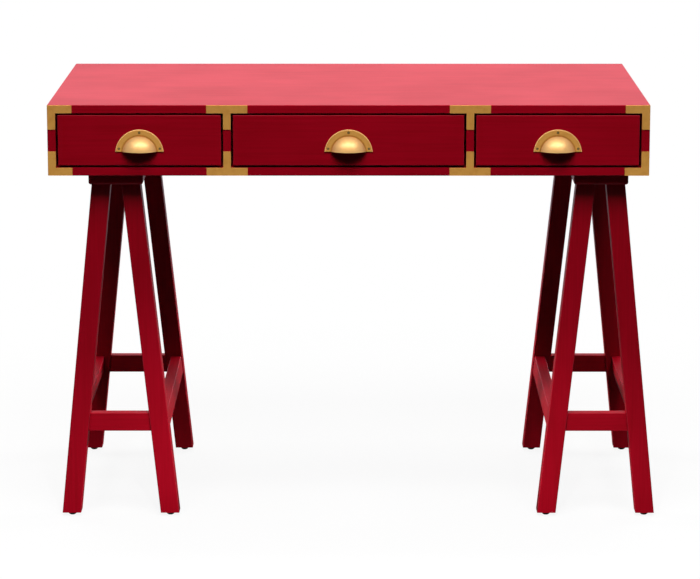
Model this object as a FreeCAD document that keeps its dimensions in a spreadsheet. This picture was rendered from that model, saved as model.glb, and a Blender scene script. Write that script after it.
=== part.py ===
"""Trestle desk: a lacquered box with three drawers and brass plates, on two A-frame trestles.

Frame: +X to the right of the person sitting at it, +Y to the back, +Z up. The origin is on
the floor under the middle of the whole desk. All lengths are in millimetres.
"""
import FreeCAD, Part
import Sketcher

import math
import os
import re

# The driving dimensions. Every other length is worked out from these.
SIZES = {
    # Box: outer size, boards and the openings between them.
    "desk_width": 1100,
    "desk_depth": 600,
    "box_height": 130.5,
    "board": 15,
    "divider_board": 14,
    "back_board": 12,
    "middle_opening": 430,
    "board_round": 1.5,
    # Dowels that join the boards, and the play in every glued joint.
    "dowel_diameter": 6,
    "dowel_length": 24,
    "dowel_bite": 9,
    "joint_play": 0.1,
    "overrun": 2,
    # Brass plates on the front edges of the boards.
    "plate_thickness": 1.2,
    "plate_margin": 0.4,
    "corner_plate_length": 45,
    "tee_plate_length": 75,
    "plate_drop": 45,
    "plate_round": 0.4,
    # Drawer boxes.
    "drawer_gap": 4,
    "front_board": 18,
    "front_round": 1.2,
    "side_board": 14,
    "side_inset": 3,
    "side_lift": 8,
    "side_headroom": 13,
    "side_rear_room": 30,
    "side_tongue": 6,
    "drawer_back_board": 12,
    "bottom_board": 5,
    "bottom_lift": 8,
    "bottom_groove": 5,
    # Runners on the walls of each opening, and the drawer grooves that slide on them.
    "runner_width": 13,
    "runner_height": 16,
    "runner_setback": 60,
    "runner_rear_room": 28,
    "running_play": 0.3,
    # Cup pulls.
    "pull_trim": 3.5,
    "pull_projection": 19.5,
    "flange": 1.5,
    "flange_width": 11.8,
    "rim_rise": 0.9,
    "rim_width": 2.2,
    "cup_radius": 32.5,
    "cup_shoulder": 4.5,
    "cup_wall": 1.8,
    "lip_round": 0.6,
    # Screws of the cup pulls.
    "pull_screw_rise": 8.8,
    "pull_screw_head": 5,
    "pull_screw_crown": 1.2,
    "pull_screw_shank": 2.6,
    "pull_screw_length": 13,
    "screw_slot": 0.7,
    "screw_slot_depth": 0.6,
    # Trestles: where they stand, their legs and their caps.
    "trestle_inset": 103.2,
    "trestle_offset": 18,
    "leg_setback": 36,
    "leg_height": 626.5,
    "leg_width": 35,
    "leg_depth": 35,
    "leg_round": 1.8,
    "foot_reach": 110,
    "head_gap": 20,
    "cap_height": 22,
    "cap_overhang": 5,
    "cap_round": 5,
    # Tenons at the heads of the legs and at the ends of the stretchers.
    "leg_tenon": 20,
    "leg_tenon_length": 14,
    "stretcher_height": 34.5,
    "stretcher_board": 21,
    "stretcher_level": 157,
    "stretcher_round": 1.2,
    "side_stretcher_reveal": 2,
    "tenon_thickness": 11,
    "tenon_height": 20,
    "tenon_length": 9,
    # Glides under the feet.
    "glide_height": 7,
    "glide_diameter": 18,
    "glide_flat": 9,
    "glide_stem": 6,
    "glide_stem_length": 18,
    # Screws from the caps into the box.
    "cap_screw_head": 8,
    "cap_screw_shank": 4,
    "cap_screw_bite": 11,
    "cap_screw_sink": 2.5,
}

# Places of repeated fastenings, as shares of the board that carries them.
DOWEL_SHARES = (0.12, 0.5, 0.88)
CAP_SCREW_SHARES = (0.3, 0.7)

# The frame: the trestles stand a little to the right under the box, so the middle of the desk lies
# between the left side of the box and the outermost foot on the right. From front to back it lies
# between the pulls and the back panel.
BOX_X = "((trestle_inset - trestle_offset - foot_reach) / 2)"
FRONT_Y = "((pull_projection - desk_depth) / 2)"
BOX_Z = "(glide_height + leg_height + cap_height)"

# The openings of the box, from its middle.
OPENING_HEIGHT = "(box_height - 2 * board)"
SIDE_OPENING = "(desk_width / 2 - board - divider_board - middle_opening / 2)"
DIVIDER_X = "(middle_opening / 2 + divider_board / 2)"
SIDE_DRAWER_X = f"(middle_opening / 2 + divider_board + {SIDE_OPENING} / 2)"

# A drawer: its own middle is x = 0, its front face is y = 0 and the opening's floor is z = 0.
SIDE_HEIGHT = f"({OPENING_HEIGHT} - side_lift - side_headroom)"
SIDE_LENGTH = "(desk_depth - back_board - front_board - side_rear_room)"
SIDE_END = f"(front_board + {SIDE_LENGTH})"
RUNNER_LENGTH = "(desk_depth - back_board - runner_setback - runner_rear_room)"
GROOVE_DEPTH = "(runner_width - drawer_gap - side_inset + running_play)"
GROOVE_HEIGHT = "(runner_height + 2 * running_play)"
RUNNER_Z = f"(side_lift + {SIDE_HEIGHT} / 2 - runner_height / 2)"
PULL_RADIUS = "(cup_radius + flange_width)"

# A trestle: its own middle is x = 0, the front of its legs is y = 0 and the foot of the wood is z = 0.
TRESTLE_SPREAD = "(desk_width / 2 - trestle_inset)"
TRESTLE_DEPTH = "(desk_depth - 2 * leg_setback)"
HEAD_REACH = "(head_gap / 2 + leg_width)"
FOOT_INSIDE = "(foot_reach - leg_width)"
LEAN = f"((foot_reach - {HEAD_REACH}) / leg_height)"
CAP_WIDTH = f"(2 * {HEAD_REACH} + 2 * cap_overhang)"
CAP_LENGTH = f"({TRESTLE_DEPTH} + 2 * cap_overhang)"
STRETCHER_MIDDLE = "(stretcher_level + stretcher_height / 2)"
SIDE_STRETCHER_X = "(leg_width - side_stretcher_reveal - stretcher_board / 2)"

doc = FreeCAD.newDocument("trestle_desk")
sheet = doc.addObject("Spreadsheet::Sheet", "Sizes")
for row, (alias, size) in enumerate(SIZES.items(), start=1):
    sheet.set(f"A{row}", alias)
    sheet.set(f"B{row}", str(size))
    sheet.setAlias(f"B{row}", alias)
doc.recompute()

nodes = []


def cells(text):
    """The formula with each size pointing at its cell of the sheet."""
    return re.sub(r"[a-z_]+", lambda word: f"Sizes.{word[0]}" if word[0] in SIZES else word[0], text)


def value(text):
    """The formula worked out with the sheet's sizes."""
    return float(sheet.evalExpression(cells(text)))


def bind(feature, prop, text):
    feature.setExpression(prop, cells(text))


def place(feature, x, y, z):
    for axis, text in zip("xyz", (x, y, z)):
        bind(feature, f".Placement.Base.{axis}", text)


def new_piece(label, x, y, z):
    """An empty body whose own origin stands at x, y, z."""
    piece = doc.addObject("PartDesign::Body", label)
    piece.Label = label
    place(piece, x, y, z)
    return piece


def new_node(label, x, y, z):
    """A body that is a node of the desk."""
    piece = new_piece(label, x, y, z)
    nodes.append(piece)
    return piece


def group(label, members):
    """A node of several separate pieces that are alike."""
    node = doc.addObject("Part::Compound", label)
    node.Label = label
    node.Links = members
    nodes.append(node)


def block(piece, kind, corner, size):
    """An Additive or Subtractive block with its lowest corner at corner."""
    feature = piece.newObject(f"PartDesign::{kind}Box", "block")
    for side, text in zip(("Length", "Width", "Height"), size):
        bind(feature, side, text)
    place(feature, *corner)


def hole(piece, diameter, depth, corner, turn=0):
    """A round hole that starts at corner and runs up, or to the back where turn is -90."""
    feature = piece.newObject("PartDesign::SubtractiveCylinder", "hole")
    feature.Placement = FreeCAD.Placement(FreeCAD.Vector(), FreeCAD.Rotation(FreeCAD.Vector(1, 0, 0), turn))
    bind(feature, "Radius", f"({diameter}) / 2")
    bind(feature, "Height", depth)
    place(feature, *corner)


def soften(piece, radius, pick):
    """Round the edges of the piece so far that pick chooses."""
    doc.recompute()
    base = piece.Tip
    edges = [f"Edge{i}" for i, edge in enumerate(base.Shape.Edges, start=1) if pick(edge)]
    feature = piece.newObject("PartDesign::Fillet", "softened")
    feature.Base = (base, edges)
    bind(feature, "Radius", radius)


def arc_middle(start, end, radius, side):
    """The middle point of an arc that bows to the left (side 1) or right (side -1) of start to end."""
    chord = end - start
    bow = radius - math.sqrt(radius ** 2 - (chord.Length / 2) ** 2)
    left = FreeCAD.Vector(-chord.y, chord.x, 0).normalize()
    return (start + end) / 2 + left * (bow * side)


def outline(piece, plane, corners):
    """A closed sketch through corners of (x, y), or (x, y, radius, side) where an arc leads on."""
    sketch = piece.newObject("Sketcher::SketchObject", "outline")
    support = [item for item in piece.Origin.OriginFeatures if item.Role == plane]
    sketch.AttachmentSupport = [(support[0], "")]
    sketch.MapMode = "FlatFace"
    points = [FreeCAD.Vector(value(corner[0]), value(corner[1]), 0) for corner in corners]
    starts = []
    for number, corner in enumerate(corners):
        start, end = points[number], points[(number + 1) % len(points)]
        if len(corner) == 2:
            sketch.addGeometry(Part.LineSegment(start, end))
            starts.append(1)
        else:
            middle = arc_middle(start, end, value(corner[2]), corner[3])
            sketch.addGeometry(Part.Arc(start, middle, end))
            starts.append(2 if corner[3] == 1 else 1)
    for number, corner in enumerate(corners):
        following = (number + 1) % len(corners)
        ends = (number, 3 - starts[number], following, starts[following])
        sketch.addConstraint(Sketcher.Constraint("Coincident", *ends))
        for kind, axis, text in (("DistanceX", -2, corner[0]), ("DistanceY", -1, corner[1])):
            if text == "0":
                sketch.addConstraint(Sketcher.Constraint("PointOnObject", number, starts[number], axis))
            else:
                datum = Sketcher.Constraint(kind, -1, 1, number, starts[number], value(text))
                bind(sketch, f"Constraints[{sketch.addConstraint(datum)}]", text)
        if len(corner) > 2:
            datum = Sketcher.Constraint("Radius", number, value(corner[2]))
            bind(sketch, f"Constraints[{sketch.addConstraint(datum)}]", corner[2])
    return sketch


def extrude(piece, corners, depth, to_back=True):
    """A front-view outline carried to the back by depth, or to the front."""
    feature = piece.newObject("PartDesign::Pad", "extruded")
    feature.Profile = outline(piece, "XZ_Plane", corners)
    bind(feature, "Length", depth)
    feature.Reversed = to_back


def turn_round(piece, plane, corners, degrees=360):
    """An outline turned round the upright axis of its own plane."""
    feature = piece.newObject("PartDesign::Revolution", "turned")
    sketch = outline(piece, plane, corners)
    feature.Profile = sketch
    feature.ReferenceAxis = (sketch, ["V_Axis"])
    feature.Angle = degrees
    feature.Reversed = True


def is_upright(edge):
    return edge.BoundBox.ZLength > edge.BoundBox.XLength + edge.BoundBox.YLength


def runs_across(edge):
    return edge.BoundBox.XLength > edge.BoundBox.YLength + edge.BoundBox.ZLength


def runs_in_depth(edge):
    return edge.BoundBox.YLength > edge.BoundBox.XLength + edge.BoundBox.ZLength


def box_dowels():
    """Places of the dowels: x and y of each, from the middle of the box front."""
    divider_depth = "(desk_depth - back_board)"
    side_x = "(desk_width / 2 - board / 2)"
    upright_x = {
        "left_side_panel": f"(-{side_x})",
        "left_divider": f"(-{DIVIDER_X})",
        "right_divider": DIVIDER_X,
        "right_side_panel": side_x,
    }
    places = {
        name: [(x, f"({share} * {divider_depth})") for share in DOWEL_SHARES]
        for name, x in upright_x.items()
    }
    back_width = "(desk_width - 2 * board)"
    places["back_panel"] = [
        (f"({share} * {back_width} - {back_width} / 2)", "(desk_depth - back_board / 2)")
        for share in DOWEL_SHARES
    ]
    return places


def build_box(cap_screws):
    """The carcass: two wide boards, two sides, a back and two dividers, joined by dowels."""
    places = box_dowels()
    wide = ("desk_width", "desk_depth", "board")
    half = value("board") / 2
    dowel_hole = "dowel_diameter + 2 * joint_play"
    half_width = "(-desk_width / 2)"

    top = new_node("top_panel", BOX_X, FRONT_Y, f"{BOX_Z} + box_height - board")
    block(top, "Additive", (half_width, "0", "0"), wide)
    soften(top, "board_round", lambda edge: edge.BoundBox.ZMax > half)
    bottom = new_node("bottom_panel", BOX_X, FRONT_Y, BOX_Z)
    block(bottom, "Additive", (half_width, "0", "0"), wide)
    soften(bottom, "board_round", lambda edge: edge.BoundBox.ZMin < half)
    for x, y in (spot for row in places.values() for spot in row):
        hole(top, dowel_hole, "dowel_bite + joint_play", (x, y, "0"))
        hole(bottom, dowel_hole, "dowel_bite + joint_play", (x, y, "board - dowel_bite - joint_play"))
    for x, y in cap_screws:
        across = (f"{x} - {BOX_X}", f"{y} - {FRONT_Y}", "0")
        hole(bottom, "cap_screw_shank + 2 * joint_play", "cap_screw_bite + joint_play", across)

    side = ("board", "desk_depth", OPENING_HEIGHT)
    divider = ("divider_board", "desk_depth - back_board", OPENING_HEIGHT)
    back = ("desk_width - 2 * board", "back_board", OPENING_HEIGHT)
    uprights = {
        "left_side_panel": (half_width, "0", side),
        "left_divider": (f"(-{DIVIDER_X} - divider_board / 2)", "0", divider),
        "right_divider": (f"({DIVIDER_X} - divider_board / 2)", "0", divider),
        "right_side_panel": ("(desk_width / 2 - board)", "0", side),
        "back_panel": (f"({half_width} + board)", "desk_depth - back_board", back),
    }
    outermost = value("desk_width / 2 - board / 2")

    def is_outer_corner(edge):
        return is_upright(edge) and abs(edge.BoundBox.Center.x) > outermost

    bite = "(dowel_length - dowel_bite)"
    depth = f"({bite} + joint_play)"
    lower_end = f"{BOX_Z} + board - dowel_bite"
    upper_end = f"{BOX_Z} + box_height - board - {bite}"
    dowels = []
    for name, (x, y, size) in uprights.items():
        upright = new_node(name, BOX_X, FRONT_Y, f"{BOX_Z} + board")
        block(upright, "Additive", (x, y, "0"), size)
        if size == side:
            soften(upright, "board_round", is_outer_corner)
        for across, along in places[name]:
            for hole_z, dowel_z in (("0", lower_end), (f"{OPENING_HEIGHT} - {depth}", upper_end)):
                hole(upright, dowel_hole, depth, (across, along, hole_z))
                dowel = doc.addObject("Part::Cylinder", "dowel")
                bind(dowel, "Radius", "dowel_diameter / 2")
                bind(dowel, "Height", "dowel_length")
                place(dowel, f"{BOX_X} + {across}", f"{FRONT_Y} + {along}", dowel_z)
                dowels.append(dowel)
    group("carcass_dowels", dowels)


def build_plates():
    """Brass plates that cover the joints on the front: an L at each corner, a T at each divider."""
    edge = "plate_margin"
    reach, drop, arm = "corner_plate_length", "plate_drop", "board"
    corner_points = (
        (edge, edge), (reach, edge), (reach, arm), (arm, arm), (arm, drop), (edge, drop))
    half, stem = "(tee_plate_length / 2)", "(divider_board / 2)"
    tee_points = (
        (f"(-{half})", edge), (half, edge), (half, arm), (stem, arm),
        (stem, drop), (f"(-{stem})", drop), (f"(-{stem})", arm), (f"(-{half})", arm))
    columns = (
        ("left_corner_plate", "(-desk_width / 2)", "", corner_points),
        ("left_tee_plate", f"(-{DIVIDER_X})", "", tee_points),
        ("right_tee_plate", DIVIDER_X, "", tee_points),
        ("right_corner_plate", "(desk_width / 2)", "-", corner_points))
    rows = (("lower", BOX_Z, ""), ("upper", f"{BOX_Z} + box_height", "-"))
    for row, z, upside in rows:
        for column, x, mirror, points in columns:
            plate = new_node(f"{row}_{column}", f"{BOX_X} + {x}", FRONT_Y, z)
            turned = [(f"{mirror}{across}", f"{upside}{up}") for across, up in points]
            extrude(plate, turned, "plate_thickness", to_back=False)
            proud = -value("plate_thickness") / 2
            soften(plate, "plate_round", lambda edge: edge.BoundBox.YMax < proud)


def pull_screw_places():
    """The three screws of a pull on the middle line of its flange: x and z from the flange centre."""
    ring = "(cup_radius + flange_width / 2)"
    across = f"sqrt({ring} ^ 2 - pull_screw_rise ^ 2)"
    return ((f"(-{across})", "pull_screw_rise"), ("0", ring), (across, "pull_screw_rise"))


def build_pull(name, x, z):
    """A pressed brass cup on a half-round flange, open below for the fingers, and its screws."""
    rise = "(pull_projection - flange)"
    inset = "(cup_radius - cup_shoulder)"
    crown = f"(({inset} ^ 2 + {rise} ^ 2 - cup_shoulder ^ 2) / (2 * ({rise} - cup_shoulder)))"
    crown_y = f"({crown} - pull_projection)"
    spread = f"({crown} - cup_shoulder)"

    def tangent(radius):
        share = f"({radius} / {spread})"
        return (f"({inset} * {share})", f"({crown_y} - (flange + {crown_y}) * {share})")

    inner_crown, inner_shoulder = f"({crown} - cup_wall)", "(cup_shoulder - cup_wall)"
    inner_radius = "(cup_radius - cup_wall)"
    bead = "((rim_width ^ 2 / 4 + rim_rise ^ 2) / (2 * rim_rise))"
    rim_inside = f"({PULL_RADIUS} - rim_width)"
    profile = (
        (inner_radius, "0"), (PULL_RADIUS, "0"), (PULL_RADIUS, "(-flange)", bead, 1),
        (rim_inside, "(-flange)"), ("cup_radius", "(-flange)", "cup_shoulder", 1),
        (*tangent(crown), crown, 1), ("0", "(-pull_projection)"),
        ("0", "(cup_wall - pull_projection)", inner_crown, -1),
        (*tangent(inner_crown), inner_shoulder, -1), (inner_radius, "(-flange)"))
    pull = new_node(f"{name}_cup_pull", x, FRONT_Y, z)
    turn_round(pull, "XY_Plane", profile, degrees=180)
    below = (f"(-{PULL_RADIUS} - overrun)", "(-pull_projection - overrun)", "(-overrun)")
    away = (f"2 * {PULL_RADIUS} + 2 * overrun", "pull_projection + 2 * overrun", "pull_trim + overrun")
    block(pull, "Subtractive", below, away)
    lip_front = -value("flange + rim_rise + lip_round")
    lip_level = value("pull_trim + lip_round")

    def is_lip(edge):
        return edge.BoundBox.YMin < lip_front and edge.BoundBox.ZMax < lip_level

    soften(pull, "lip_round", is_lip)
    screw_hole = "pull_screw_shank + 2 * joint_play"
    for across, up in pull_screw_places():
        hole(pull, screw_hole, "flange + 2 * overrun", (across, "(-flange - overrun)", up), turn=-90)

    head, shank = "(pull_screw_head / 2)", "(pull_screw_shank / 2)"
    dome = f"(({head} ^ 2 + pull_screw_crown ^ 2) / (2 * pull_screw_crown))"
    screws = []
    for across, up in pull_screw_places():
        screw = new_piece("pull_screw", f"{x} + {across}", f"{FRONT_Y} - flange", f"{z} + {up}")
        turn_round(screw, "XY_Plane", (
            ("0", "(-pull_screw_crown)"), ("0", "(pull_screw_length)"), (shank, "(pull_screw_length)"),
            (shank, "0"), (head, "0", dome, 1)))
        slot = ("(-pull_screw_head / 2)", "(-pull_screw_crown - overrun)", "(-screw_slot / 2)")
        block(screw, "Subtractive", slot, ("pull_screw_head", "screw_slot_depth + overrun", "screw_slot"))
        screws.append(screw)
    group(f"{name}_pull_screws", screws)


def build_drawer(name, middle, opening):
    """A drawer box that slides on runners, with its front, pull and screws."""
    x, z = f"({BOX_X} + {middle})", f"({BOX_Z} + board)"
    half = f"({opening} / 2)"
    outer = f"({half} - drawer_gap - side_inset)"
    inner = f"({outer} - side_board)"
    front_width = f"({opening} - 2 * drawer_gap)"
    front_height = f"({OPENING_HEIGHT} - 2 * drawer_gap)"
    bottom_z = "(side_lift + bottom_lift)"
    pull_z = f"({OPENING_HEIGHT} / 2 - ({PULL_RADIUS} + pull_trim) / 2)"

    front = new_node(f"{name}_front", x, FRONT_Y, z)
    front_corner = (f"-{front_width} / 2", "0", "drawer_gap")
    block(front, "Additive", front_corner, (front_width, "front_board", front_height))
    middle_y = value("front_board") / 2
    soften(front, "front_round", lambda edge: edge.BoundBox.YMin < middle_y)
    tongue_y = "front_board - side_tongue - joint_play"
    slot = ("side_board + 2 * joint_play", "side_tongue + overrun", f"{SIDE_HEIGHT} + 2 * joint_play")
    for start in (f"(-{outer} - joint_play)", f"({inner} - joint_play)"):
        block(front, "Subtractive", (start, tongue_y, "side_lift - joint_play"), slot)
    groove_y = "front_board - bottom_groove - joint_play"
    groove_size = (f"2 * {inner}", "bottom_groove + overrun", "bottom_board + 2 * joint_play")
    block(front, "Subtractive", (f"-{inner}", groove_y, f"{bottom_z} - joint_play"), groove_size)
    screw_hole = "pull_screw_shank + 2 * joint_play"
    for across, up in pull_screw_places():
        spot = (across, "(-overrun)", f"{pull_z} + {up}")
        hole(front, screw_hole, "pull_screw_length - flange + joint_play + overrun", spot, turn=-90)

    for hand, start, cut, groove in (
            ("left", f"(-{outer})", f"(-{outer} - overrun)", f"(-{inner} - bottom_groove - joint_play)"),
            ("right", inner, f"({outer} - {GROOVE_DEPTH})", f"({inner} - overrun)")):
        side = new_node(f"{name}_{hand}_side", x, FRONT_Y, z)
        size = ("side_board", f"{SIDE_LENGTH} + side_tongue", SIDE_HEIGHT)
        block(side, "Additive", (start, "front_board - side_tongue", "side_lift"), size)
        channel_corner = (cut, "runner_setback - running_play", f"{RUNNER_Z} - running_play")
        channel_length = f"{SIDE_END} - runner_setback + running_play + overrun"
        channel = (f"{GROOVE_DEPTH} + overrun", channel_length, GROOVE_HEIGHT)
        block(side, "Subtractive", channel_corner, channel)
        slit_corner = (groove, "front_board - side_tongue - overrun", f"{bottom_z} - joint_play")
        slit_length = f"{SIDE_LENGTH} + side_tongue + 2 * overrun"
        slit_depth = "bottom_groove + joint_play + overrun"
        block(side, "Subtractive", slit_corner, (slit_depth, slit_length, "bottom_board + 2 * joint_play"))

    back = new_node(f"{name}_back", x, FRONT_Y, z)
    back_z = f"{bottom_z} + bottom_board"
    back_size = (f"2 * {inner}", "drawer_back_board", f"{SIDE_HEIGHT} - bottom_lift - bottom_board")
    block(back, "Additive", (f"-{inner}", f"{SIDE_END} - drawer_back_board", back_z), back_size)
    bottom = new_node(f"{name}_bottom", x, FRONT_Y, z)
    half_bottom = f"({inner} + bottom_groove)"
    sheet_size = (f"2 * {half_bottom}", SIDE_LENGTH, "bottom_board")
    block(bottom, "Additive", (f"-{half_bottom}", "front_board", bottom_z), sheet_size)
    tongue_corner = (f"-{inner}", "front_board - bottom_groove", bottom_z)
    block(bottom, "Additive", tongue_corner, (f"2 * {inner}", "2 * bottom_groove", "bottom_board"))

    runners = []
    for start in (f"(-{half})", f"({half} - runner_width)"):
        runner = new_piece("runner", x, FRONT_Y, z)
        runner_size = ("runner_width", RUNNER_LENGTH, "runner_height")
        block(runner, "Additive", (start, "runner_setback", RUNNER_Z), runner_size)
        runners.append(runner)
    group(f"{name}_runners", runners)
    build_pull(name, x, f"({z} + {pull_z})")


def cap_screw_places(trestle_x):
    """The four screws of a cap: x and y in the frame of the desk."""
    start = f"({FRONT_Y} + leg_setback - cap_overhang)"
    return [
        (f"({trestle_x} {side} {CAP_WIDTH} / 4)", f"({start} + {share} * {CAP_LENGTH})")
        for side in "-+" for share in CAP_SCREW_SHARES]


def build_leg(label, trestle_x, hand, at_back):
    """A leaning leg with a tenon for the cap, mortises for two stretchers and a hole for its glide."""
    leg_y = f"({FRONT_Y} + leg_setback)"
    if at_back:
        leg_y = f"({leg_y} + {TRESTLE_DEPTH} - leg_depth)"
    leg = new_node(label, trestle_x, leg_y, "glide_height")
    extrude(leg, (
        (f"{hand}foot_reach", "0"), (f"{hand}{FOOT_INSIDE}", "0"),
        (f"{hand}head_gap / 2", "leg_height"), (f"{hand}{HEAD_REACH}", "leg_height")), "leg_depth")
    soften(leg, "leg_round", is_upright)
    head_x = f"({hand}({HEAD_REACH} - leg_width / 2) - leg_tenon / 2)"
    head = (head_x, "(leg_depth - leg_tenon) / 2", "leg_height")
    block(leg, "Additive", head, ("leg_tenon", "leg_tenon", "leg_tenon_length"))

    low = f"({STRETCHER_MIDDLE} - tenon_height / 2 - joint_play)"
    tall, thick = "tenon_height + 2 * joint_play", "tenon_thickness + 2 * joint_play"
    inner_face = f"({FOOT_INSIDE} - {LEAN} * {STRETCHER_MIDDLE})"
    depth = "(tenon_length + joint_play)"
    start = f"({inner_face} - overrun)" if hand == "" else f"(-{inner_face} - {depth})"
    across = (start, "(leg_depth - tenon_thickness) / 2 - joint_play", low)
    block(leg, "Subtractive", across, (f"{depth} + overrun", thick, tall))
    middle_x = f"({hand}({inner_face} + {SIDE_STRETCHER_X}))"
    along_y = "(-overrun)" if at_back else f"(leg_depth - {depth})"
    along = (f"{middle_x} - tenon_thickness / 2 - joint_play", along_y, low)
    block(leg, "Subtractive", along, (thick, f"{depth} + overrun", tall))
    stem = (f"{hand}(foot_reach - leg_width / 2)", "leg_depth / 2", "0")
    hole(leg, "glide_stem + 2 * joint_play", "glide_stem_length + joint_play", stem)


def build_stretchers(name, trestle_x):
    """Four rails at one height: front and back between the leaning legs, left and right along the depth.

    The left and right ones lie close to the outer faces of the legs.
    """
    frame_y = f"({FRONT_Y} + leg_setback)"
    top = "(stretcher_level + stretcher_height)"
    tenon_z = f"({STRETCHER_MIDDLE} - tenon_height / 2)"

    def inside(level):
        return f"({FOOT_INSIDE} - {LEAN} * {level})"

    low, high = inside("stretcher_level"), inside(top)
    for end, shift in (("front", "0"), ("back", f"({TRESTLE_DEPTH} - leg_depth)")):
        face = f"({shift} + (leg_depth - stretcher_board) / 2)"
        rail = new_node(f"{name}_{end}_stretcher", trestle_x, f"{frame_y} + {face}", "glide_height")
        extrude(rail, (
            (f"(-{low})", "stretcher_level"), (low, "stretcher_level"), (high, top), (f"(-{high})", top)),
            "stretcher_board")
        soften(rail, "stretcher_round", runs_across)
        reach = f"({inside(STRETCHER_MIDDLE)} + tenon_length)"
        corner = (f"-{reach}", "(stretcher_board - tenon_thickness) / 2", tenon_z)
        block(rail, "Additive", corner, (f"2 * {reach}", "tenon_thickness", "tenon_height"))

    span = f"({TRESTLE_DEPTH} - 2 * leg_depth)"
    for hand, sign in (("left", "-"), ("right", "")):
        rail = new_node(f"{name}_{hand}_stretcher", trestle_x, f"{frame_y} + leg_depth", "glide_height")
        centre_low, centre_high = f"({low} + {SIDE_STRETCHER_X})", f"({high} + {SIDE_STRETCHER_X})"
        half = "stretcher_board / 2"
        section = (
            (f"({sign}{centre_low} - {half})", "stretcher_level"),
            (f"({sign}{centre_low} + {half})", "stretcher_level"),
            (f"({sign}{centre_high} + {half})", top),
            (f"({sign}{centre_high} - {half})", top))
        extrude(rail, section, span)
        soften(rail, "stretcher_round", runs_in_depth)
        middle_x = f"({sign}({inside(STRETCHER_MIDDLE)} + {SIDE_STRETCHER_X}))"
        corner = (f"{middle_x} - tenon_thickness / 2", "(-tenon_length)", tenon_z)
        block(rail, "Additive", corner, ("tenon_thickness", f"{span} + 2 * tenon_length", "tenon_height"))


def build_cap(name, trestle_x):
    """The flat cap that the legs stand into and the box rests on, rounded all round below."""
    cap_y = f"({FRONT_Y} + leg_setback - cap_overhang)"
    cap_z = "(glide_height + leg_height)"
    cap = new_node(f"{name}_cap", trestle_x, cap_y, cap_z)
    block(cap, "Additive", (f"-{CAP_WIDTH} / 2", "0", "0"), (CAP_WIDTH, CAP_LENGTH, "cap_height"))
    middle = value("cap_height") / 2
    soften(cap, "cap_round", lambda edge: edge.BoundBox.ZMax < middle)
    pocket = "leg_tenon + 2 * joint_play"
    for hand in ("-", ""):
        for leg_y in ("cap_overhang", f"({CAP_LENGTH} - cap_overhang - leg_depth)"):
            corner = (f"{hand}({HEAD_REACH} - leg_width / 2) - leg_tenon / 2 - joint_play",
                      f"{leg_y} + (leg_depth - leg_tenon) / 2 - joint_play", "(-overrun)")
            block(cap, "Subtractive", corner, (pocket, pocket, "leg_tenon_length + joint_play + overrun"))
    for x, y in cap_screw_places(trestle_x):
        across = (f"{x} - {trestle_x}", f"{y} - {cap_y}")
        through = (*across, "(-overrun)")
        hole(cap, "cap_screw_shank + 2 * joint_play", "cap_height + 2 * overrun", through)
        hole(cap, "cap_screw_head + 2 * joint_play", "cap_screw_sink + joint_play + overrun", through)


def build_trestle(name, trestle_x):
    """One trestle: cap, four legs and four stretchers."""
    build_cap(name, trestle_x)
    for end in ("front", "back"):
        for side, hand in (("left", "-"), ("right", "")):
            build_leg(f"{name}_{end}_{side}_leg", trestle_x, hand, end == "back")
    build_stretchers(name, trestle_x)


def build_glides(trestles):
    """A round glide with a stem under every foot."""
    rise = "(glide_diameter / 2 - glide_flat / 2)"
    bow = f"((glide_height ^ 2 + {rise} ^ 2) / (2 * {rise}))"
    profile = (
        ("0", "0"), ("(glide_flat / 2)", "0", bow, -1), ("(glide_diameter / 2)", "glide_height"),
        ("(glide_stem / 2)", "glide_height"), ("(glide_stem / 2)", "(glide_height + glide_stem_length)"),
        ("0", "(glide_height + glide_stem_length)"))
    glides = []
    for trestle_x in trestles:
        for hand in "-+":
            for leg_y in ("leg_setback + leg_depth / 2", "desk_depth - leg_setback - leg_depth / 2"):
                foot_x = f"{trestle_x} {hand} (foot_reach - leg_width / 2)"
                glide = new_piece("glide", foot_x, f"{FRONT_Y} + {leg_y}", "0")
                turn_round(glide, "XZ_Plane", profile)
                glides.append(glide)
    group("glides", glides)


def build_cap_screws(places):
    """Flat-headed screws that rise through the caps into the underside of the box."""
    head, shank = "(cap_screw_head / 2)", "(cap_screw_shank / 2)"
    tip = "(cap_height + cap_screw_bite)"
    profile = (("0", "0"), (head, "0"), (shank, "cap_screw_sink"), (shank, tip), ("0", tip))
    screws = []
    for x, y in places:
        screw = new_piece("cap_screw", x, y, "glide_height + leg_height")
        turn_round(screw, "XZ_Plane", profile)
        screws.append(screw)
    group("cap_screws", screws)


def check_document():
    """Stop if any object failed or any node's shape is empty or broken."""
    doc.recompute()
    failed = [item.Label for item in doc.Objects if {"Invalid", "Error"} & set(item.State)]
    failed += [node.Label for node in nodes if node.Shape.isNull() or not node.Shape.isValid()]
    if failed:
        raise RuntimeError(f"failed objects: {failed}")


trestles = {
    "left_trestle": f"({BOX_X} + trestle_offset - {TRESTLE_SPREAD})",
    "right_trestle": f"({BOX_X} + trestle_offset + {TRESTLE_SPREAD})",
}
screw_places = [spot for trestle_x in trestles.values() for spot in cap_screw_places(trestle_x)]
build_box(screw_places)
build_plates()
build_drawer("left_drawer", f"(-{SIDE_DRAWER_X})", SIDE_OPENING)
build_drawer("middle_drawer", "0", "middle_opening")
build_drawer("right_drawer", SIDE_DRAWER_X, SIDE_OPENING)
for name, trestle_x in trestles.items():
    build_trestle(name, trestle_x)
build_glides(trestles.values())
build_cap_screws(screw_places)
check_document()

os.makedirs("parts", exist_ok=True)
for node in nodes:
    node.Shape.exportStep(f"parts/{node.Label}.step")
    print(node.Label, len(node.Shape.Solids), "solids", round(node.Shape.Volume), "mm3")
print(len(nodes), "nodes")
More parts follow.
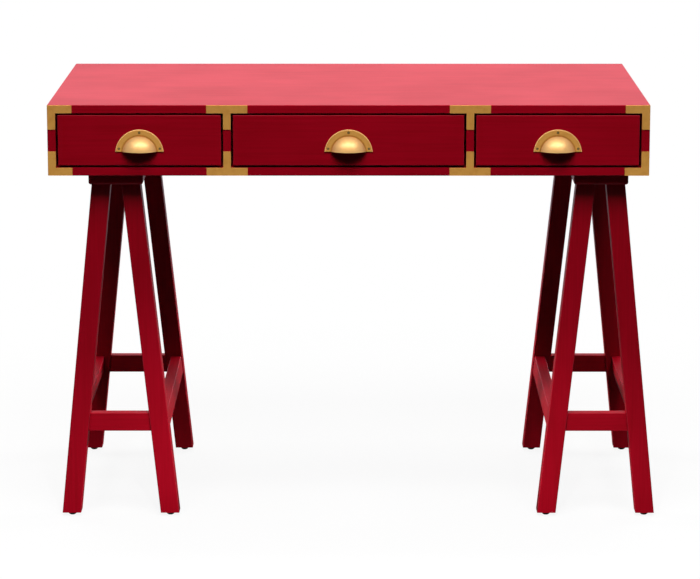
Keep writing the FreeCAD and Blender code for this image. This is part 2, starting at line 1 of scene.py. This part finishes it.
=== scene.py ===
# %% [markdown]
# # Dressing a red lacquered trestle desk
#
# This desk is a flat box with three drawers on two A-frame trestles. Its joinery is already made:
# every board, leg, drawer and brass plate is loaded from the packed model, at its real size and in
# its place. The boards could be modelled again here, but then the picture and the moving model could
# drift apart. So the loaded pieces keep their shapes, and this lesson adds what a workshop adds last:
# the finishes of lacquer, brass and bare wood, and a studio to see them in. Lengths are in metres, +Z
# is up, and the drawers face -Y.

# %% Load the desk
import math

import bpy
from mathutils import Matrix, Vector


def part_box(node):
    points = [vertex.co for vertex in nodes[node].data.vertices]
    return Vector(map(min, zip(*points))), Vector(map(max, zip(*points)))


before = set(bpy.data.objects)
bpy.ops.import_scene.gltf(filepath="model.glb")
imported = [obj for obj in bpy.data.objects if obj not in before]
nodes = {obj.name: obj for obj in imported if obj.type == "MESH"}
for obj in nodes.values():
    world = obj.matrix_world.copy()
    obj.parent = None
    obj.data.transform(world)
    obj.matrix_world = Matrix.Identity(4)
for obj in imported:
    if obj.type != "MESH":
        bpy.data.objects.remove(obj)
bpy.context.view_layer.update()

# %% [markdown]
# ## The camera
#
# The desk was photographed from the front with a long lens, from a little above its top, so the legs
# of a trestle hardly converge. A camera can be moved by hand until the picture looks right. Here its
# place, pitch and lens were worked out from the edges of the box and the legs, because a small error
# in pitch shows at once on a wide, flat top. The Standard view keeps colours as they are lit.

# %% Camera
LENS_MM = 157.33
CAMERA_PLACE = (-0.0026, -5.8173, 1.5614)
CAMERA_PITCH = 0.1996
CAMERA_TURN = 0.0013

camera_data = bpy.data.cameras.new("camera")
camera_data.lens = LENS_MM
camera = bpy.data.objects.new("camera", camera_data)
camera.location = CAMERA_PLACE
camera.rotation_euler = (math.pi / 2 - CAMERA_PITCH, 0, CAMERA_TURN)
bpy.context.scene.collection.objects.link(camera)
bpy.context.scene.camera = camera
bpy.context.scene.view_settings.view_transform = "Standard"

# %% [markdown]
# ## Sums on sockets
#
# A finish is a net of shader nodes, and most of it is arithmetic. Each Math node could be added and
# linked by hand, but then a formula of one line fills a page. A small class wraps a socket instead,
# so that a formula written in Python adds its Math nodes by itself, and one method adds any other
# node. Colours go through a Mix node, because a Math node would turn them grey.


# %% Shader arithmetic
class Shade:
    """A socket of a node tree. Sums and products of it add Math nodes to that tree."""

    def __init__(self, tree, socket=None):
        self.tree = tree
        self.socket = socket

    def node(self, kind, settings=None, inputs=None, output=0):
        """Add a node, set its settings first and then its sockets, and return one output."""
        made = self.tree.nodes.new(kind)
        for name, setting in (settings or {}).items():
            setattr(made, name, setting)
        for name, value in (inputs or {}).items():
            if isinstance(value, Shade):
                self.tree.links.new(value.socket, made.inputs[name])
            else:
                made.inputs[name].default_value = value
        return Shade(self.tree, made.outputs[output] if made.outputs else None)

    def math(self, operation, first, second=0.0):
        """Add a Math node on one or two values."""
        return self.node("ShaderNodeMath", {"operation": operation}, {0: first, 1: second})

    def __add__(self, other):
        return self.math("ADD", self, other)

    __radd__ = __add__

    def __sub__(self, other):
        return self.math("SUBTRACT", self, other)

    def __rsub__(self, other):
        return self.math("SUBTRACT", other, self)

    def __mul__(self, other):
        return self.math("MULTIPLY", self, other)

    __rmul__ = __mul__

    def between(self, low, high):
        """0 at low, 1 at high, smooth between."""
        settings = {"interpolation_type": "SMOOTHSTEP"}
        return self.node("ShaderNodeMapRange", settings, {"Value": self, "From Min": low, "From Max": high})


# A Mix node has one output for each type of value, and the colour is the third of them.
MIXED_COLOUR = 2


def mix_colours(amount, first, second):
    """The first colour where amount is 0, the second where it is 1."""
    settings = {"data_type": "RGBA", "clamp_factor": True}
    inputs = {"Factor": amount, "A": first, "B": second}
    return amount.node("ShaderNodeMix", settings, inputs, MIXED_COLOUR)


def clear_tree(holder):
    """The empty node tree of a material or a world."""
    holder.use_nodes = True
    holder.node_tree.nodes.clear()
    return Shade(holder.node_tree)


print("a Shade adds nodes with", [name for name in vars(Shade) if not name.startswith("_")])

# %% [markdown]
# ## Places and kinds of ray
#
# Every piece of the desk sits at the origin with its place in its mesh, so Object coordinates say
# where on the desk a point lies, and a pattern on them needs no unwrapping. For the studio, the other
# question is who looks. In a real one, white cards stand where the brass should mirror them, and
# black cards keep their light off the wood. Cards could be modelled as planes, but the Light Path
# node tells a camera ray from a mirrored one, so the floor and the room can look different to each.
# A mirrored ray counts only if it met no matt surface before the mirror: otherwise the brass would
# pour the white room into its own shadow.

# %% Places and rays
HALF_A_BOUNCE = 0.5


def object_place(shade):
    """Where on the desk a point lies."""
    return shade.node("ShaderNodeTexCoord", output="Object")


def component(vector, axis):
    """One of the three numbers of a vector."""
    return vector.node("ShaderNodeSeparateXYZ", inputs={0: vector}, output=axis)


def length(vector):
    """How long a vector is."""
    return vector.node("ShaderNodeVectorMath", {"operation": "LENGTH"}, {0: vector}, output="Value")


def ray(shade, kind):
    """What Light Path says of a ray, such as 1 for a camera ray."""
    return shade.node("ShaderNodeLightPath", output=kind)


def mirrored(shade):
    """1 for rays that come from a reflection or through glass, with no matt bounce before."""
    reflected = shade.math("MAXIMUM", ray(shade, "Is Glossy Ray"), ray(shade, "Is Transmission Ray"))
    return reflected * shade.math("LESS_THAN", ray(shade, "Diffuse Depth"), HALF_A_BOUNCE)


print("rays are told apart as seen by the camera, mirrored, or neither")

# %% [markdown]
# ## The floor
#
# The desk stands on a pale studio floor that fades into the white behind it. A plain white plane
# would do, but it bounces so much light under the desk that the back legs turn as bright as the front
# ones. So this round floor looks different to each kind of ray. The camera sees it glow white, with a
# trace of the desk's shadow near the middle. Mirrors see it lit in front of the desk, which is what
# the brass plates show. Everything else gets only a weak bounce from it.

# %% Floor
WHITE = (1, 1, 1, 1)
FLOOR_RADIUS = 2.4
FLOOR_SIDES = 96
FLOOR_GLOW = 0.9
SHADOW_REACH = (0.8, 1.6)
FLOOR_PALE = (0.8, 0.8, 0.8, 1)
FLOOR_UNDER_DESK = (0.03, 0.03, 0.03, 1)
FLOOR_IN_FRONT = (0.004, 0.004, 0.004, 1)
DESK_SHADOW_EDGE = (-0.45, -0.25)
FLOOR_IN_MIRRORS = 0.1
LIT_FLOOR_IN_MIRRORS = 2.4
LIT_FLOOR_EDGE = (-1.9, -1.2)

bpy.ops.object.select_all(action="DESELECT")
bpy.ops.mesh.primitive_circle_add(vertices=FLOOR_SIDES, radius=FLOOR_RADIUS, fill_type="NGON")
floor = bpy.context.object
floor.name = "floor"

floor_finish = bpy.data.materials.new("floor")
shade = clear_tree(floor_finish)
place = object_place(shade)
depth = component(place, "Y")
in_view = ray(shade, "Is Camera Ray")
seen = shade.math("MAXIMUM", mirrored(shade), in_view)
whiteness = FLOOR_GLOW + length(place).between(*SHADOW_REACH) * (1 - FLOOR_GLOW)
under_desk = depth.between(*DESK_SHADOW_EDGE)
bounce = mix_colours(under_desk, FLOOR_IN_FRONT, FLOOR_UNDER_DESK)
matt = shade.node("ShaderNodeBsdfDiffuse", inputs={"Color": mix_colours(seen, bounce, FLOOR_PALE)})
lit = depth.between(*LIT_FLOOR_EDGE) * (1 - under_desk)
mirror = FLOOR_IN_MIRRORS + lit * (LIT_FLOOR_IN_MIRRORS - FLOOR_IN_MIRRORS)
glow_strength = in_view + (1 - in_view) * mirror
glow = shade.node("ShaderNodeEmission", inputs={"Color": WHITE, "Strength": glow_strength})
surface = shade.node("ShaderNodeMixShader", inputs={0: seen * whiteness, 1: matt, 2: glow})
shade.node("ShaderNodeOutputMaterial", inputs={"Surface": surface})
floor.data.materials.append(floor_finish)
print("floor", 2 * FLOOR_RADIUS, "m across")

# %% [markdown]
# ## The white room
#
# Around the floor the studio is white, and lacquer and brass show it as their sheen. Walls could be
# built, but a world needs no geometry. The camera sees it pure white. Mirrors see it slightly cool,
# bright above and behind the desk and dimmer on the camera's side, where a real studio keeps its
# lights down. As a lamp it is almost off, so it fills no shadow.

# %% World
COOL_WHITE = (0.88, 0.88, 0.97, 1)
FRONT_OF_STUDIO = 0.5
BACK_WALL_SHARE = 0.6
BRIGHT_SIDE_EDGE = (-0.35, 0.35)
AMBIENT = 0.002

world = bpy.data.worlds.new("studio")
shade = clear_tree(world)
direction = shade.node("ShaderNodeTexCoord", output="Generated")
towards_light = component(direction, "Y") * BACK_WALL_SHARE + component(direction, "Z")
room = FRONT_OF_STUDIO + towards_light.between(*BRIGHT_SIDE_EDGE) * (1 - FRONT_OF_STUDIO)
in_view = ray(shade, "Is Camera Ray")
room_strength = in_view + mirrored(shade) * room + AMBIENT
room_colour = mix_colours(in_view, COOL_WHITE, WHITE)
sky = shade.node("ShaderNodeBackground", inputs={"Color": room_colour, "Strength": room_strength})
shade.node("ShaderNodeOutputWorld", inputs={"Surface": sky})
bpy.context.scene.world = world
print("white room, at", FRONT_OF_STUDIO, "strength in mirrors on the camera's side")

# %% [markdown]
# ## The soft lamps
#
# The main light is a wide soft lamp in front of the desk and high above it. It falls on the fronts at
# a steep angle, so the pulls and the box throw deep shadows downwards. One lamp can't do the rest, so
# each further effect has a lamp of its own, which can be set without upsetting the others: a strip
# that shows only in reflections draws the glint on the pulls, a lamp behind gives the top its pale
# sheen, and two weak, narrow beams from the left and the right skim the side stretchers.

# %% Soft lamps
FRONT_LAMP = {"place": (0, -2.47, 4.54), "aim": (0, -0.29, 0.6), "size": (3.4, 1.9), "watts": 212}
GLINT_LAMP = {"place": (0, -2.8, 3.2), "aim": (0, -0.3, 0.7), "size": (5.0, 0.8), "watts": 96}
BACK_LAMP = {"place": (0, 0.75, 3.0), "aim": (0, 0, 0.75), "size": (2.6, 1.0), "watts": 77}
SIDE_LAMP = {"size": (0.8, 0.12), "watts": 0.68}
SIDE_LAMP_OUT, SIDE_LAMP_BACK, SIDE_LAMP_HEIGHT = 2.6, 0.85, 0.75
SIDE_AIM_ACROSS, SIDE_AIM_HEIGHT = 0.34, 0.18
SIDE_BEAM_DEGREES = 12


def pointing(place, aim):
    """The turn of a lamp at place that shines at aim."""
    return (Vector(aim) - Vector(place)).to_track_quat("-Z", "Y").to_euler()


def soft_lamp(name, place, aim, size, watts):
    """A rectangular soft lamp at place that points at aim."""
    lamp_data = bpy.data.lights.new(name, "AREA")
    lamp_data.shape = "RECTANGLE"
    lamp_data.size, lamp_data.size_y = size
    lamp_data.energy = watts
    lamp = bpy.data.objects.new(name, lamp_data)
    lamp.location = place
    lamp.rotation_euler = pointing(place, aim)
    bpy.context.scene.collection.objects.link(lamp)
    return lamp


soft_lamp("front_lamp", **FRONT_LAMP).visible_glossy = False
soft_lamp("glint_lamp", **GLINT_LAMP).visible_diffuse = False
soft_lamp("back_lamp", **BACK_LAMP)
for side in (-1, 1):
    side_place = (side * SIDE_LAMP_OUT, SIDE_LAMP_BACK, SIDE_LAMP_HEIGHT)
    side_aim = (-side * SIDE_AIM_ACROSS, 0, SIDE_AIM_HEIGHT)
    side_lamp = soft_lamp("side_lamp", side_place, side_aim, **SIDE_LAMP)
    side_lamp.data.spread = math.radians(SIDE_BEAM_DEGREES)
    side_lamp.visible_glossy = False

# %% [markdown]
# ## The foot lamp
#
# In the photograph the legs grow brighter towards the floor, and the back legs are lit only near
# their feet, under the shadow of the box. A brighter floor would light them from below, but all the
# way up. A spotlight in front of the desk that points down at the floor does it better: its soft rim
# ends just under the box, so the legs brighten gradually and the drawer fronts don't change.

# %% Foot lamp
FOOT_LAMP_PLACE = (0, -2.2, 1.35)
FOOT_LAMP_AIM = (0, -0.97, 0)
FOOT_LAMP_WATTS = 118
FOOT_LAMP_DEGREES = 51
FOOT_LAMP_RIM = 0.7
FOOT_LAMP_RADIUS = 0.03

bpy.ops.object.light_add(type="SPOT", location=FOOT_LAMP_PLACE)
foot_lamp = bpy.context.object
foot_lamp.name = "foot_lamp"
foot_lamp.rotation_euler = pointing(FOOT_LAMP_PLACE, FOOT_LAMP_AIM)
foot_lamp.data.energy = FOOT_LAMP_WATTS
foot_lamp.data.spot_size = math.radians(FOOT_LAMP_DEGREES)
foot_lamp.data.spot_blend = FOOT_LAMP_RIM
foot_lamp.data.shadow_soft_size = FOOT_LAMP_RADIUS
print("foot lamp", FOOT_LAMP_PLACE[2], "m above the floor, with a beam of", FOOT_LAMP_DEGREES, "degrees")

# %% [markdown]
# ## Patterns that the finishes share
#
# Wood, lacquer and metal all carry small marks: grain and brushing run one way, clouds and specks go
# every way, and edges wear. Painted images could show them, but they blur close up and need
# unwrapping. Noise worked out at each point is sharp at any distance. Stretching its coordinates along
# a board turns specks into grain. A worn edge is found by its normal: on a flat face that points along
# one axis, and on a rounding between two.

# %% Patterns
ROUNDING = (0.02, 0.2)


def stretched(shade, along, across_scale, along_scale):
    """Object coordinates, fine across the grain and long along it."""
    scale = [across_scale] * 3
    scale["XYZ".index(along)] = along_scale
    return shade.node("ShaderNodeMapping", inputs={"Vector": object_place(shade), "Scale": scale})


def noise(shade, vector, scale=1.0, detail=2.0, roughness=0.5):
    """Soft noise from 0 to 1, finer with a larger scale and busier with more detail."""
    inputs = {"Vector": vector, "Scale": scale, "Detail": detail, "Roughness": roughness}
    return shade.node("ShaderNodeTexNoise", inputs=inputs)


def rounded_edge(shade):
    """1 on the rounding of an edge, 0 on a flat face."""
    facing = shade.node("ShaderNodeNewGeometry", output="Normal")
    size = shade.node("ShaderNodeVectorMath", {"operation": "ABSOLUTE"}, {0: facing})
    x, y, z = [component(size, axis) for axis in "XYZ"]
    steepest = shade.math("MAXIMUM", shade.math("MAXIMUM", x, y), z)
    return (1 - steepest).between(*ROUNDING)


def bump(shade, height, strength, depth):
    """A normal that follows a height pattern of that depth."""
    inputs = {"Height": height, "Strength": strength, "Distance": depth}
    return shade.node("ShaderNodeBump", inputs=inputs)


def close_finish(shade, **inputs):
    """End a finish in one surface shader."""
    sockets = {name.replace("_", " "): value for name, value in inputs.items()}
    surface = shade.node("ShaderNodeBsdfPrincipled", inputs=sockets)
    shade.node("ShaderNodeOutputMaterial", inputs={"Surface": surface})


print("patterns: grain, noise, rounded edges and bump")

# %% [markdown]
# ## Red satin lacquer
#
# The box and the trestles are sprayed in a deep red with a satin sheen. One flat colour with some
# gloss would pass from afar, but up close such a coat has a fine orange-peel ripple, the grain of the
# wood shows through as faint lines along the board, the colour and gloss wander a little, and rounded
# edges are rubbed lighter. So ripple, grain and blotches each get a noise, and the edges are found by
# their rounding. The trestles are a little duller than the box, and the grain has to follow each
# board, so the finish is made for both, along X, Y and Z.

# %% Lacquer
LACQUER_RED = (0.45, 0.0014, 0.014, 1)
LACQUER_DEEP = (0.34, 0.0006, 0.008, 1)
LACQUER_EDGE = (0.60, 0.045, 0.075, 1)
BOX_SHEEN, BOX_ROUGHNESS = 0.066, 0.30
TRESTLE_SHEEN, TRESTLE_ROUGHNESS = 0.08, 0.42
BLOTCH_SCALE, BLOTCH_EDGE, BLOTCH_SHARE = 7.0, (0.3, 0.7), 0.5
GRAIN_ACROSS, GRAIN_ALONG, GRAIN_DETAIL = 260.0, 7.0, 3.0
STREAK_EDGE, STREAK_SHARE = (0.35, 0.7), 0.5
PEEL_SCALE, PEEL_DETAIL = 420.0, 1.0
EDGE_RUB = 0.4
BLOTCH_DULLS, GRAIN_DULLS, EDGE_SHINES = 0.06, 0.03, 0.05
GRAIN_HEIGHT, PEEL_HEIGHT = 0.6, 0.4
COAT_BUMP, COAT_DEPTH = 0.12, 0.0004


def red_lacquer(name, along, sheen, roughness):
    """Satin lacquer on boards whose grain runs along one axis."""
    finish = bpy.data.materials.new(f"{name}_lacquer_along_{along.lower()}")
    shade = clear_tree(finish)
    place = object_place(shade)
    blotches = noise(shade, place, BLOTCH_SCALE)
    grain = noise(shade, stretched(shade, along, GRAIN_ACROSS, GRAIN_ALONG), detail=GRAIN_DETAIL)
    peel = noise(shade, place, PEEL_SCALE, PEEL_DETAIL)
    edge = rounded_edge(shade)
    depth = blotches.between(*BLOTCH_EDGE) * BLOTCH_SHARE + grain.between(*STREAK_EDGE) * STREAK_SHARE
    body = mix_colours(depth, LACQUER_RED, LACQUER_DEEP)
    close_finish(
        shade,
        Base_Color=mix_colours(edge * EDGE_RUB, body, LACQUER_EDGE),
        Roughness=roughness + blotches * BLOTCH_DULLS + grain * GRAIN_DULLS - edge * EDGE_SHINES,
        Normal=bump(shade, grain * GRAIN_HEIGHT + peel * PEEL_HEIGHT, COAT_BUMP, COAT_DEPTH),
        Specular_IOR_Level=sheen)
    return finish


box_lacquer = {along: red_lacquer("box", along, BOX_SHEEN, BOX_ROUGHNESS) for along in "XYZ"}
trestle_lacquer = {
    along: red_lacquer("trestle", along, TRESTLE_SHEEN, TRESTLE_ROUGHNESS) for along in "XYZ"}
print("lacquer for box and trestles, with the grain along", ", ".join(box_lacquer))

# %% [markdown]
# ## Brushed brass plates
#
# The corner and tee plates on the front edges are thin sheet brass with a brushed face. A plain gold
# metal would look like plastic film, so fine lines run along the plate, a cloudy tarnish darkens it
# in places, and its edges, where hands rub, are brighter. The lines are a strongly stretched noise,
# because that also makes the sheen uneven, as brushing does.

# %% Plate brass
BRASS = (0.60, 0.30, 0.062, 1)
# The darker brass is tarnish on the plates and pulls, and painted shade in the pulls' groove.
BRASS_TARNISH_AND_SHADE = (0.47, 0.215, 0.04, 1)
BRASS_BRIGHT = (0.74, 0.44, 0.15, 1)
CLOUD_DETAIL = 3.0
PLATE_CLOUD_SCALE, PLATE_CLOUD_EDGE, PLATE_TARNISH = 55.0, (0.4, 0.72), 0.7
BRUSH_ACROSS, BRUSH_ALONG = 3000.0, 60.0
PLATE_EDGE_RUB = 0.25
PLATE_ROUGHNESS, CLOUD_DULLS, LINES_DULL, EDGE_DULLS = 0.34, 0.10, 0.08, 0.10
LINE_BUMP, LINE_DEPTH = 0.10, 0.0001

plate_brass = bpy.data.materials.new("plate_brass")
shade = clear_tree(plate_brass)
cloudy = noise(shade, object_place(shade), PLATE_CLOUD_SCALE, CLOUD_DETAIL)
lines = noise(shade, stretched(shade, "X", BRUSH_ACROSS, BRUSH_ALONG))
edge = rounded_edge(shade)
aged = mix_colours(cloudy.between(*PLATE_CLOUD_EDGE) * PLATE_TARNISH, BRASS, BRASS_TARNISH_AND_SHADE)
close_finish(
    shade,
    Base_Color=mix_colours(edge * PLATE_EDGE_RUB, aged, BRASS_BRIGHT),
    Roughness=PLATE_ROUGHNESS + cloudy * CLOUD_DULLS + lines * LINES_DULL + edge * EDGE_DULLS,
    Metallic=1.0,
    Normal=bump(shade, lines, LINE_BUMP, LINE_DEPTH))
print("brushed brass for", sum(name.endswith("plate") for name in nodes), "plates")

# %% [markdown]
# ## Spun brass pulls
#
# Each drawer has a cup pull: half a dome on a flat flange. Such cups are spun on a lathe, so their
# fine lines run in circles round the middle of the cup. The groove at its foot is darkened, partly as
# dirt and partly as painted shade. The dome and the outer rim are painted lighter, partly as rubbed
# brass and partly as painted highlight. One finish could serve all three pulls only if they had one
# centre, so each pull gets its own, centred by its box: the middle of the cup lies a little below the
# pull's lower edge. A thin clear coat, strongest on the lighter parts, gives the pale glint.

# %% Pull brass
# The lighter brass of the dome and the rim is partly rubbed brass and partly painted highlight.
BRASS_RUBBED_AND_HIGHLIGHT = (0.78, 0.46, 0.16, 1)
CUP_RADIUS = 0.0325
PULL_TRIM = 0.0035
GROOVE_OFFSET, GROOVE_CORE, GROOVE_REACH = 0.0006, 0.0004, 0.0022
DOME_EDGE = (CUP_RADIUS - 0.0015, CUP_RADIUS - 0.0003)
RIM_EDGE = (0.0424, 0.0432)
CIRCLE_SCALE, CIRCLE_DETAIL = 2600.0, 3.0
PULL_CLOUD_SCALE, PULL_CLOUD_EDGE = 70.0, (0.42, 0.75)
PULL_TARNISH, GROOVE_DIRT_AND_SHADE, CLOUD_ON_RUBBED_AND_HIGHLIGHT = 0.6, 0.9, 0.3
PULL_ROUGHNESS, CIRCLES_DULL, GROOVE_DULLS = 0.40, 0.08, 0.1
THIN_COAT, COAT_ON_RUBBED_AND_HIGHLIGHT, PULL_COAT_ROUGHNESS = 0.15, 0.45, 0.25


def spun_brass(pull):
    """Brass with fine circles round the middle of one pull's cup."""
    low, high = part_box(pull)
    middle = ((low.x + high.x) / 2, 0, low.z - PULL_TRIM)
    finish = bpy.data.materials.new(f"{pull}_brass")
    shade = clear_tree(finish)
    place = object_place(shade)
    from_middle = {"Vector": place, "Location": [-part for part in middle]}
    centred = shade.node("ShaderNodeMapping", inputs=from_middle)
    flat = shade.node("ShaderNodeVectorMath", {"operation": "MULTIPLY"}, {0: centred, 1: (1, 0, 1)})
    radius = length(flat)
    circles = shade.node(
        "ShaderNodeTexNoise", {"noise_dimensions": "1D"},
        {"W": radius, "Scale": CIRCLE_SCALE, "Detail": CIRCLE_DETAIL})
    cloudy = noise(shade, place, PULL_CLOUD_SCALE, CLOUD_DETAIL)
    # The groove at the foot of the dome is darkened, partly as dirt and partly as painted shade.
    from_groove = shade.math("ABSOLUTE", radius - (CUP_RADIUS + GROOVE_OFFSET))
    groove = 1 - from_groove.between(GROOVE_CORE, GROOVE_REACH)
    tarnish_and_shade = cloudy.between(*PULL_CLOUD_EDGE) * PULL_TARNISH + groove * GROOVE_DIRT_AND_SHADE
    aged = mix_colours(tarnish_and_shade, BRASS, BRASS_TARNISH_AND_SHADE)
    # The dome and the outer rim are painted lighter, partly as rubbed brass and partly as painted
    # highlight.
    rubbed_and_highlight = 1 - radius.between(*DOME_EDGE) + radius.between(*RIM_EDGE)
    close_finish(
        shade,
        Base_Color=mix_colours(rubbed_and_highlight * (1 - cloudy * CLOUD_ON_RUBBED_AND_HIGHLIGHT), aged, BRASS_RUBBED_AND_HIGHLIGHT),
        Roughness=PULL_ROUGHNESS + cloudy * CLOUD_DULLS + circles * CIRCLES_DULL + groove * GROOVE_DULLS,
        Metallic=1.0,
        Normal=bump(shade, circles, LINE_BUMP, LINE_DEPTH),
        Coat_Weight=THIN_COAT + rubbed_and_highlight * COAT_ON_RUBBED_AND_HIGHLIGHT,
        Coat_Roughness=PULL_COAT_ROUGHNESS)
    return finish


pull_brass = {name: spun_brass(name) for name in nodes if name.endswith("cup_pull")}
print("spun brass for", ", ".join(pull_brass))

# %% [markdown]
# ## Dark pull screws
#
# The three small screws of a pull are brass too, but darker. Using the pull's own brass would make them
# vanish on the flange. A mottled dark brass keeps them visible as the small dots of the photograph.

# %% Screw brass
SCREW_BRASS_DARK = (0.20, 0.13, 0.04, 1)
SCREW_BRASS_DARKER = (0.09, 0.065, 0.025, 1)
MOTTLE_SCALE = 900.0
SCREW_ROUGHNESS, MOTTLE_DULLS = 0.5, 0.15

screw_brass = bpy.data.materials.new("screw_brass")
shade = clear_tree(screw_brass)
mottled = noise(shade, object_place(shade), MOTTLE_SCALE)
close_finish(
    shade,
    Base_Color=mix_colours(mottled, SCREW_BRASS_DARK, SCREW_BRASS_DARKER),
    Roughness=SCREW_ROUGHNESS + mottled * MOTTLE_DULLS,
    Metallic=1.0)
print("dark brass for", sum(name.endswith("pull_screws") for name in nodes), "sets of pull screws")

# %% [markdown]
# ## Bare wood
#
# Behind their fronts the drawers are plain pale wood with a matt surface, and so are the runners and
# the dowels. A picture of a board could be laid on, but it would repeat and would need unwrapping. Two
# stretched noises do it at any size: the sine of a slow one gives the bands of the growth rings, and a
# very fine one gives the dark pores that sink a little below the surface.

# %% Wood
WOOD_PALE = (0.66, 0.47, 0.28, 1)
WOOD_DARK = (0.46, 0.29, 0.15, 1)
RING_ACROSS, RING_ALONG, RING_DETAIL, RING_ROUGHNESS = 34.0, 2.2, 4.0, 0.62
RING_WAVES, RING_SHARE, RING_HEIGHT = 60.0, 0.45, 0.3
PORE_ACROSS, PORE_ALONG, PORE_EDGE = 1100.0, 24.0, (0.5, 0.75)
PORE_SHARE, PORE_SINK = 0.4, 0.7
WOOD_ROUGHNESS, PORES_DULL = 0.55, 0.15
WOOD_BUMP, WOOD_DEPTH = 0.2, 0.0003


def bare_wood(along):
    """Pale wood whose grain runs along one axis."""
    finish = bpy.data.materials.new(f"bare_wood_along_{along.lower()}")
    shade = clear_tree(finish)
    ring_place = stretched(shade, along, RING_ACROSS, RING_ALONG)
    rings = noise(shade, ring_place, detail=RING_DETAIL, roughness=RING_ROUGHNESS)
    bands = shade.math("SINE", rings * RING_WAVES).between(-1.0, 1.0)
    pores = noise(shade, stretched(shade, along, PORE_ACROSS, PORE_ALONG))
    darkness = bands * RING_SHARE + pores.between(*PORE_EDGE) * PORE_SHARE
    close_finish(
        shade,
        Base_Color=mix_colours(darkness, WOOD_PALE, WOOD_DARK),
        Roughness=WOOD_ROUGHNESS + pores * PORES_DULL,
        Normal=bump(shade, bands * RING_HEIGHT - pores * PORE_SINK, WOOD_BUMP, WOOD_DEPTH))
    return finish


wood = {along: bare_wood(along) for along in "XYZ"}
print("bare wood with the grain along", ", ".join(wood))

# %% [markdown]
# ## Black plastic glides
#
# A round glide under each foot lets the desk slide over a floor. Moulded black plastic is matt, with a
# fine grit, and turns grey where it is scuffed. Pure black would hide its shape, so the scuffs lift
# the colour a little and dull it.

# %% Glide plastic
PLASTIC_BLACK = (0.012, 0.012, 0.013, 1)
PLASTIC_SCUFFED = (0.045, 0.044, 0.042, 1)
GRIT_SCALE, GRIT_BUMP, GRIT_DEPTH = 1500.0, 0.25, 0.0001
SCUFF_SCALE, SCUFF_DETAIL, SCUFF_EDGE, SCUFF_SHARE = 160.0, 3.0, (0.5, 0.8), 0.4
PLASTIC_ROUGHNESS, SCUFFS_DULL = 0.45, 0.2

glide_plastic = bpy.data.materials.new("black_plastic")
shade = clear_tree(glide_plastic)
place = object_place(shade)
grit = noise(shade, place, GRIT_SCALE)
scuff = noise(shade, place, SCUFF_SCALE, SCUFF_DETAIL).between(*SCUFF_EDGE)
close_finish(
    shade,
    Base_Color=mix_colours(scuff * SCUFF_SHARE, PLASTIC_BLACK, PLASTIC_SCUFFED),
    Roughness=PLASTIC_ROUGHNESS + scuff * SCUFFS_DULL,
    Normal=bump(shade, grit, GRIT_BUMP, GRIT_DEPTH))
print("black plastic for the glides")

# %% [markdown]
# ## Zinc screws
#
# Screws from below hold the caps of the trestles to the box. They are zinc plated, as screws from a
# shop are: a pale grey metal with a faint spangle. Plain grey metal would do for something so small,
# but the spangle costs one noise and keeps the heads from looking flat.

# %% Screw zinc
ZINC_GREY = (0.50, 0.50, 0.48, 1)
ZINC_PALE = (0.66, 0.65, 0.60, 1)
SPANGLE_SCALE = 700.0
ZINC_ROUGHNESS, SPANGLE_DULLS = 0.28, 0.2

screw_zinc = bpy.data.materials.new("zinc")
shade = clear_tree(screw_zinc)
spangle = noise(shade, object_place(shade), SPANGLE_SCALE)
close_finish(
    shade,
    Base_Color=mix_colours(spangle, ZINC_GREY, ZINC_PALE),
    Roughness=ZINC_ROUGHNESS + spangle * SPANGLE_DULLS,
    Metallic=1.0)
print("zinc for the cap screws")

# %% [markdown]
# ## Dressing the nodes
#
# On a bench, each piece would be finished by what it is made of before the desk goes together. The
# finishes could be given out in one long list, but a node's material slot and name already say enough:
# the slot names the material, and the name tells a leg from a side. Wood runs along the length of its
# board, so a leg's grain stands upright and a side's runs to the back.

# %% Finish of every node
UPRIGHT = ("leg", "dowels")
DEPTHWISE = ("side", "side_panel", "divider", "left_stretcher", "right_stretcher", "cap", "runners")


def grain_of(name):
    """The axis that a piece's grain runs along."""
    if name.endswith(UPRIGHT):
        return "Z"
    return "Y" if name.endswith(DEPTHWISE) else "X"


def finish_of(name, slot):
    """The finish of a piece, by its name and the material in its slot."""
    if slot == "red_lacquer":
        return (trestle_lacquer if "trestle" in name else box_lacquer)[grain_of(name)]
    if slot == "bare_wood":
        return wood[grain_of(name)]
    if slot == "brass":
        return screw_brass if name.endswith("pull_screws") else pull_brass.get(name, plate_brass)
    return {"black_plastic": glide_plastic, "steel": screw_zinc}[slot]


for name, node in nodes.items():
    node.material_slots[0].material = finish_of(name, node.material_slots[0].material.name)
print("dressed", len(nodes), "nodes")

# %% [markdown]
# ## Closing
#
# A finish changes no size, so the dressed desk is still as large as it was built.
